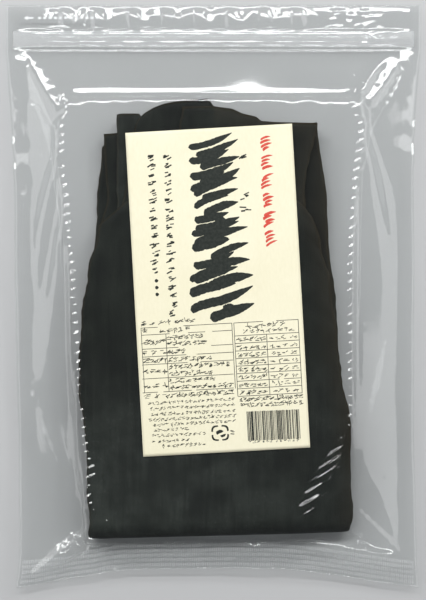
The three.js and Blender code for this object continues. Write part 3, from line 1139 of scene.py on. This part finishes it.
LABEL_WIDE, LABEL_TALL, LABEL_TURN = 82.0, 159.2, math.radians(3.2)
PAPER_THICK, PAPER_CELL = 0.13, 1.6
GLUE_THICK, LEAST_GAP = 0.03, 0.02
label_middle = (label_low + label_high)[:2] / 2
label_columns, label_rows = round(LABEL_WIDE / PAPER_CELL) + 1, round(LABEL_TALL / PAPER_CELL) + 1
u, v = np.meshgrid(
    np.linspace(-0.5, 0.5, label_columns) * LABEL_WIDE,
    np.linspace(-0.5, 0.5, label_rows) * LABEL_TALL,
)
label_x = label_middle[0] + u * math.cos(LABEL_TURN) - v * math.sin(LABEL_TURN)
label_y = label_middle[1] + u * math.sin(LABEL_TURN) + v * math.cos(LABEL_TURN)
film_under = np.array([
    height_on(outer_tree, x, y, True, BOARD_LEVEL) for x, y in zip(label_x.flat, label_y.flat)
]).reshape(u.shape)
underside = smoothed(film_under, 60)
for _ in range(4):
    underside += smoothed(np.maximum(film_under + GLUE_THICK - underside, 0) * 1.5, 4)
underside += max(0, (film_under + LEAST_GAP - underside).max())
paper_under = np.stack([label_x, label_y, underside], -1)
paper_face = paper_under + (0, 0, PAPER_THICK)
label_piece = piece_of("label_paper", slab(paper_face, paper_under))

paper = Finish("cream_paper")
fibre = paper.noise(paper.place((1, 0.35, 1)), 900, 4.0)
tone = paper.noise(paper.place(), 30, 3.0)
cream = paper.mix(
    (0.7 * tone + 0.5 * fibre - 0.1).clipped(0.2, 0.8), (0.76, 0.72, 0.53, 1), (0.82, 0.78, 0.6, 1)
)
label_piece.data.materials.append(
    paper.wear(paper.node(
        "ShaderNodeBsdfPrincipled", {},
        {"Base Color": cream, "Roughness": 0.62 + 0.15 * fibre,
         "Normal": paper.bump(fibre, 0.15, 0.00006), "Specular IOR Level": 0.25},
    ))
)
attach(label_piece, "root")
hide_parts("label")


# --- The print on the label -----------------------------------------------------------------------
# Black and red ink, as plain shapes: broad brushed dabs down the middle, columns and rows of
# strewn short strokes for the small print, ruled boxes, a block of bars and a broken ring.

INK_THICK = 0.02


def on_label(points):
    """Flat places on the label, from its middle, to places on the paper."""
    columns = (points[:, 0] / LABEL_WIDE + 0.5) * (label_columns - 1)
    up_rows = (points[:, 1] / LABEL_TALL + 0.5) * (label_rows - 1)
    return on_sheet(paper_face, columns, up_rows, points[:, 2] + 0.004)


def ink(name, dark, light):
    """Ink that lies a little unevenly on the paper."""
    wet = Finish(name)
    patchy = wet.noise(wet.place(), 700, 3.0)
    return wet.wear(wet.node(
        "ShaderNodeBsdfPrincipled", {},
        {"Base Color": wet.mix(patchy.clipped(0.35, 0.75), dark, light), "Roughness": 0.55,
         "Specular IOR Level": 0.25},
    ))


black_ink = ink("black_ink", (0.012, 0.016, 0.013, 1), (0.026, 0.031, 0.026, 1))
red_ink = ink("red_ink", (0.56, 0.058, 0.04, 1), (0.66, 0.1, 0.07, 1))

strewn = Tree(
    "strewn_strokes",
    **{"Start": "Vector", "Step": "Vector", "Marks": "Int", "Strokes": "Int", "Spread": "Vector",
       "Shortest": "Float", "Longest": "Float", "Thinnest": "Float", "Thickest": "Float",
       "Upright": "Float", "Turn": "Float", "Slant": "Float", "Depth": "Float", "Seed": "Int",
       "Ink": "Material"},
)


def strewn_random(kind, sockets, plus, output):
    """A random value for each stroke, apart from the tree's others."""
    seed = strewn.by("ADD", strewn.given("Seed"), float(plus))
    return strewn.node(
        "FunctionNodeRandomValue", {"data_type": kind}, {**sockets, "Seed": seed}, output=output
    )


stroke_number = strewn.node("GeometryNodeInputIndex")
mark_number = strewn.by("FLOOR", strewn.by("DIVIDE", stroke_number, strewn.given("Strokes")))
mark_place = strewn.node(
    "ShaderNodeVectorMath", {"operation": "MULTIPLY_ADD"},
    {0: strewn.given("Step"), 1: mark_number, 2: strewn.given("Start")},
)
back_spread = strewn.node(
    "ShaderNodeVectorMath", {"operation": "SCALE"}, {0: strewn.given("Spread"), 3: -1.0}
)
stroke_offset = strewn_random(
    "FLOAT_VECTOR", {0: back_spread, 1: strewn.given("Spread")}, 0, 0
)
stroke_place = strewn.node(
    "ShaderNodeVectorMath", {"operation": "ADD"}, {0: mark_place, 1: stroke_offset}
)
stroke_count = strewn.by("MULTIPLY", strewn.given("Marks"), strewn.given("Strokes"))
places = strewn.node(
    "GeometryNodePoints", {}, {"Count": stroke_count, "Position": stroke_place}
)
stands = strewn_random("FLOAT", {2: 0.0, 3: 1.0}, 1, 1)
stands = strewn.by("LESS_THAN", stands, strewn.given("Upright"))
lean_back = strewn.by("MULTIPLY", strewn.given("Slant"), -1.0)
lean = strewn_random("FLOAT", {2: lean_back, 3: strewn.given("Slant")}, 2, 1)
lean = strewn.by("ADD", lean, strewn.given("Turn"))
turn = strewn.by("MULTIPLY_ADD", stands, math.pi / 2, lean)
long = strewn_random("FLOAT", {2: strewn.given("Shortest"), 3: strewn.given("Longest")}, 3, 1)
thick = strewn_random("FLOAT", {2: strewn.given("Thinnest"), 3: strewn.given("Thickest")}, 4, 1)
strokes = strewn.node(
    "GeometryNodeInstanceOnPoints", {},
    {"Points": places,
     "Instance": strewn.node("GeometryNodeMeshCube", {}, {"Size": (1, 1, 1)}),
     "Rotation": strewn.node("ShaderNodeCombineXYZ", {}, {"Z": turn}),
     "Scale": strewn.node(
         "ShaderNodeCombineXYZ", {}, {"X": long, "Y": thick, "Z": strewn.given("Depth")}
     )},
)
strewn.ends_with(strokes, strewn.given("Ink"))


def row(first, last, marks, strokes, size, thick, seed, upright=0.12, turn=0.25, slant=0.45,
        length=(0.3, 0.8), spread=0.36):
    """A row or column of small marks between two places, as a flat mesh."""
    step = [(b - a) / max(marks - 1, 1) * MM for a, b in zip(first, last)]
    return strewn.grow(
        Start=(first[0] * MM, first[1] * MM, INK_THICK / 2 * MM), Step=(*step, 0),
        Marks=marks, Strokes=strokes, Spread=(spread * size * MM, spread * size * MM, 0.003 * MM),
        Shortest=length[0] * size * MM, Longest=length[1] * size * MM,
        Thinnest=thick[0] * MM, Thickest=thick[1] * MM,
        Upright=upright, Turn=turn, Slant=slant, Depth=INK_THICK * MM, Seed=seed, Ink=black_ink,
    )


def lines(first, last, count, length, upright=0.0, thick=(0.28, 0.3)):
    """Ruled lines of one length, evenly spaced between two places."""
    return row(first, last, count, 1, 1.0, thick, 1, upright=upright, turn=0.0, slant=0.0,
               length=(length, length), spread=0.0)


# The two columns of small print on the left, and the small marks beside the dabs.
small_print = [
    row((-21.3, 66.6), (-22.4, -10.2), 19, 5, 3.6, (0.45, 0.75), 1, upright=0, slant=0.3),
    row((-29.3, 66.6), (-29.8, 11.2), 14, 5, 3.6, (0.45, 0.75), 2, upright=0, slant=0.3),
    row((16.1, 65.1), (16.1, 65.1), 1, 4, 4.2, (0.5, 0.8), 3, upright=0),
    row((16.0, 45.3), (15.9, 38.7), 2, 4, 4.2, (0.5, 0.8), 4, upright=0),
]
# The box on the left: rows of small print at these heights, in a narrow and a wide column.
left_rows = (
    (-14.3, 3, 5, -12), (-18.2, 2, 4, -15), (-21.9, 0, 7, -8), (-23.6, 5, 0, 0), (-25.1, 0, 8, -7),
    (-28.8, 3, 4, -18), (-32.7, 6, 8, -5), (-36.4, 0, 12, 3.6), (-38.0, 4, 0, 0),
    (-39.8, 0, 8, -5), (-43.2, 0, 8, -4), (-45.0, 3, 0, 0), (-46.6, 0, 12, 4.6),
    (-50.3, 3, 14, 5.2),
)
for number, (height, narrow, wide, reach) in enumerate(left_rows):
    if narrow:
        small_print.append(
            row((-37.2, height), (-28.2, height), narrow, 5, 2.9, (0.22, 0.42), 10 + number)
        )
    if wide:
        small_print.append(
            row((-24.9, height), (reach - 1, height), wide, 5, 2.7, (0.22, 0.42), 30 + number)
        )
# The box on the right: a heading, then names beside amounts, then two closing lines.
right_rows = (-24.8, -28.7, -32.4, -36.1, -39.8, -43.5, -47.2, -50.9)
small_print += [
    row((14.5, -18.3), (30.5, -18.3), 6, 5, 2.7, (0.22, 0.42), 50),
    row((12.5, -21.1), (35.0, -21.1), 9, 4, 2.5, (0.22, 0.4), 51),
    row((8.3, -54.3), (37.6, -54.3), 14, 5, 2.6, (0.22, 0.42), 52),
    row((9.0, -57.2), (37.4, -57.2), 13, 5, 2.5, (0.22, 0.4), 53),
]
for number, height in enumerate(right_rows):
    small_print += [
        row((9.2, height), (20.8, height), 5, 5, 2.6, (0.22, 0.42), 60 + number),
        row((25.4, height), (31.4, height), 3, 3, 2.8, (0.26, 0.4), 70 + number),
        row((35.2, height), (36.6, height), 2, 3, 2.0, (0.24, 0.36), 80 + number),
    ]
# The fine lines at the foot, and the small row under the bars.
foot_lines = (
    (-53.6, -36.8, 4.6), (-56.4, -35.2, 4.4), (-59.2, -35.2, 4.4), (-61.8, -36.8, 4.6),
    (-64.4, -34.8, 4.2), (-67.0, -34.6, -19.0), (-69.7, -35.0, -10.8), (-72.4, -35.0, -18.8),
    (-74.9, -30.4, -11.0),
)
for number, (height, begin, finish) in enumerate(foot_lines):
    small_print.append(
        row((begin, height), (finish, height), round((finish - begin) / 1.95), 4, 1.9,
            (0.18, 0.34), 90 + number)
    )
small_print.append(row((11.6, -75.4), (35.2, -75.4), 12, 3, 1.5, (0.2, 0.32), 110))
small_print.append(row((3.6, -70.0), (3.6, -70.0), 1, 6, 2.6, (0.22, 0.4), 111))
# The ruled lines of both boxes, and the bars.
small_print += [
    lines((-16.2, -16.5), (-16.2, -16.5), 1, 44.6),
    lines((-16.3, -20.0), (-16.3, -20.0), 1, 44.6),
    lines((-16.3, -26.9), (-16.7, -34.6), 3, 44.8),
    lines((-16.9, -41.5), (-17.2, -48.3), 2, 44.8),
    lines((-38.6, -32.4), (6.0, -32.6), 2, 32.0, upright=1.0),
    lines((-26.6, -34.2), (-26.6, -34.2), 1, 28.6, upright=1.0),
    lines((22.8, -16.5), (22.8, -16.5), 1, 31.6),
    lines((22.8, -22.9), (22.8, -52.6), 9, 31.6),
    lines((7.0, -34.5), (38.6, -34.5), 2, 36.2, upright=1.0),
    lines((22.75, -37.7), (22.75, -37.7), 1, 29.6, upright=1.0),
    row((11.0, -67.4), (36.4, -67.8), 39, 1, 14.4, (0.18, 0.62), 120, upright=1.0, turn=0.0,
        slant=0.0, length=(1, 1), spread=0.008),
]
small_print_piece = settle(small_print, "small_print", on_label)


def dab(first, last, wide, bow, seed, blunt=0.1, tail=0.45):
    """One pull of a broad brush, pressed down at its start and lifted off in a tail."""
    t = np.linspace(0, 1, 26)
    first, last = np.array(first, float), np.array(last, float)
    way = last - first
    across_way = np.array([-way[1], way[0]]) / np.linalg.norm(way)
    line = first + way * t[:, None] + across_way * (4 * bow * t * (1 - t))[:, None]
    press = np.sqrt(np.clip(1 - (1 - np.clip(t / blunt, 0, 1)) ** 2, 0, 1))
    lift = 1 - np.clip((t - 1 + tail) / tail, 0, 1) ** 1.7 * 0.9
    ragged = np.random.default_rng(seed).normal(0, 0.05, (2, len(t)))
    half = wide / 2 * np.maximum(press * lift, 0.04)
    flat = np.stack([
        line + across_way * (side * half * (1 + rough))[:, None]
        for side, rough in zip((-1, 1), ragged)
    ])
    low = np.concatenate([flat, np.full(flat.shape[:2] + (1,), 0.0)], -1)
    high = low + (0, 0, INK_THICK + 0.002 * (seed % 7))
    return slab(high, low)


def printed(name, shapes, colour):
    """One piece of ink on the label, from its flat shapes."""
    laid = [(on_label(points), faces, np.zeros(len(faces), bool)) for points, faces, _ in shapes]
    made = piece_of(name, *laid)
    made.data.materials.append(colour)
    return made


# Four stacks down the middle, each of dabs that all rise to the right at about one slant. A
# stack is its middle, width, height and number of dabs.
dabs = []
loose_hand = np.random.default_rng(23)
for middle_u, middle_v, wide, tall, count in (
    (1.8, 62.8, 25.5, 25.0, 7), (1.6, 41.8, 22.5, 22.0, 6), (2.6, 19.2, 28.5, 26.5, 7),
    (1.9, -1.0, 32.0, 24.0, 6),
):
    for number, height in enumerate(np.linspace(0.5, -0.5, count)):
        length = wide * loose_hand.uniform(0.62, 1.0)
        shift = (wide - length) / 2 * (1 if number % 2 else -1)
        slant = loose_hand.uniform(0.16, 0.34)
        breadth = tall / count * loose_hand.uniform(0.85, 1.25)
        half = np.array([math.cos(slant), math.sin(slant)]) * length / 2
        centre = np.array([middle_u + shift, middle_v + height * (tall - breadth)])
        dabs.append(dab(
            centre - half, centre + half, breadth, loose_hand.uniform(-1.6, 1.6), 200 + len(dabs),
        ))
        if number % 3 == 1:
            short = half * loose_hand.uniform(0.25, 0.4)
            beside = centre - (shift * 1.6, 0.1 * tall)
            dabs.append(dab(beside - short, beside + short, breadth * 0.9, 0.6, 200 + len(dabs)))
# The broken ring at the foot, with a dab inside, and the three dots below the second column.
for quarter in range(4):
    bend = np.linspace(0.14, 0.86, 12) * math.pi / 2 + quarter * math.pi / 2
    squarish = (np.abs(np.cos(bend)) ** 4 + np.abs(np.sin(bend)) ** 4) ** -0.25
    ring = np.stack([np.cos(bend) * squarish * 3.9, np.sin(bend) * squarish * 3.5], -1)
    sides = [np.array((-2.7, -70.0)) + ring * scale for scale in (1.1, 0.88)]
    low = np.concatenate([np.stack(sides), np.zeros((2, 12, 1))], -1)
    dabs.append(slab(low + (0, 0, INK_THICK), low))
dabs.append(dab((-4.6, -70.2), (-1.0, -69.2), 1.7, 0.4, 301))
dabs.append(dab((-2.6, -71.6), (0.1, -70.6), 1.2, -0.3, 302))
for dot in range(3):
    height = 6.3 - 3.35 * dot
    dabs.append(dab((-30.6, height), (-28.8, height), 1.75, 0.0, 310 + dot, 0.5, 0.5))
brushed = printed("brushed_dabs", dabs, black_ink)
# Six red marks down the right, each of four slanted dabs.
red_dabs = []
for mark in range(6):
    for number, height in enumerate(np.linspace(2.6, -2.6, 4)):
        length = loose_hand.uniform(3.6, 6.4)
        slant = loose_hand.uniform(0.2, 0.45)
        half = np.array([math.cos(slant), math.sin(slant)]) * length / 2
        centre = np.array([27.15 + loose_hand.uniform(-0.8, 0.8), 70.6 - 9.3 * mark + height])
        red_dabs.append(dab(
            centre - half, centre + half, loose_hand.uniform(1.0, 1.5), 0.5, 400 + len(red_dabs),
        ))
red_marks = printed("red_marks", red_dabs, red_ink)
for piece, slot in (
    (small_print_piece, "black_ink"), (red_marks, "red_ink"), (brushed, "black_ink")
):
    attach(piece, "root")
    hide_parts("label")


# --- The stage ----------------------------------------------------------------------------------
# A plain pale table, soft lights at both sides and towards the head end, and the camera straight
# above.

FLOOR_REACH, FLOOR_LEVEL = 4, -0.0004
floor_mesh = bpy.data.meshes.new("floor")
floor_corners = [
    (x * FLOOR_REACH, y * FLOOR_REACH, FLOOR_LEVEL) for x, y in ((-1, -1), (1, -1), (1, 1), (-1, 1))
]
floor_mesh.from_pydata(floor_corners, [], [(0, 1, 2, 3)])
floor = bpy.data.objects.new("floor", floor_mesh)
scene.collection.objects.link(floor)
pale = Finish("pale_table")
floor_mesh.materials.append(
    pale.wear(pale.node(
        "ShaderNodeBsdfPrincipled", {},
        {"Base Color": (0.47, 0.475, 0.48, 1), "Roughness": 0.7, "Specular IOR Level": 0.2},
    ))
)

world = bpy.data.worlds.new("studio")
scene.world = world
world.use_nodes = True
world.node_tree.nodes["Background"].inputs["Color"].default_value = (0.9, 0.95, 1, 1)
world.node_tree.nodes["Background"].inputs["Strength"].default_value = 0.12


def lamp(name, place, aim, size, power):
    """A soft oblong light that faces a point."""
    data = bpy.data.lights.new(name, "AREA")
    data.shape = "RECTANGLE"
    data.size, data.size_y = size
    data.energy = power
    made = bpy.data.objects.new(name, data)
    scene.collection.objects.link(made)
    made.location = place
    made.rotation_euler = (Vector(aim) - Vector(place)).to_track_quat("-Z", "Y").to_euler()
    return made


lamp("head_light", (0.0, 0.6, 1.04), (0, 0, 0), (1.3, 0.22), 12)
lamp("left_soft", (-1.1, -0.1, 0.65), (0, 0, 0), (1.4, 0.9), 6)
lamp("right_soft", (1.1, 0.1, 0.65), (0, 0, 0), (1.4, 0.9), 6)
lamp("left_head_light", (-0.8, 0.9, 0.8), (0, 0, 0), (0.35, 0.25), 4)
lamp("right_head_light", (0.8, 0.9, 0.8), (0, 0, 0), (0.35, 0.25), 4)

lens = 200
frame_height = 0.2958
camera = bpy.data.objects.new("camera", bpy.data.cameras.new("camera"))
scene.collection.objects.link(camera)
camera.data.lens = lens
camera.location = (-0.0002, -0.0017, 0.008 + frame_height * lens / 36)
camera.data.clip_start, camera.data.clip_end = 0.01, 20
scene.camera = camera
scene.view_settings.view_transform = "Standard"
scene.view_settings.look = "None"
scene.cycles.transparent_max_bounces = 24
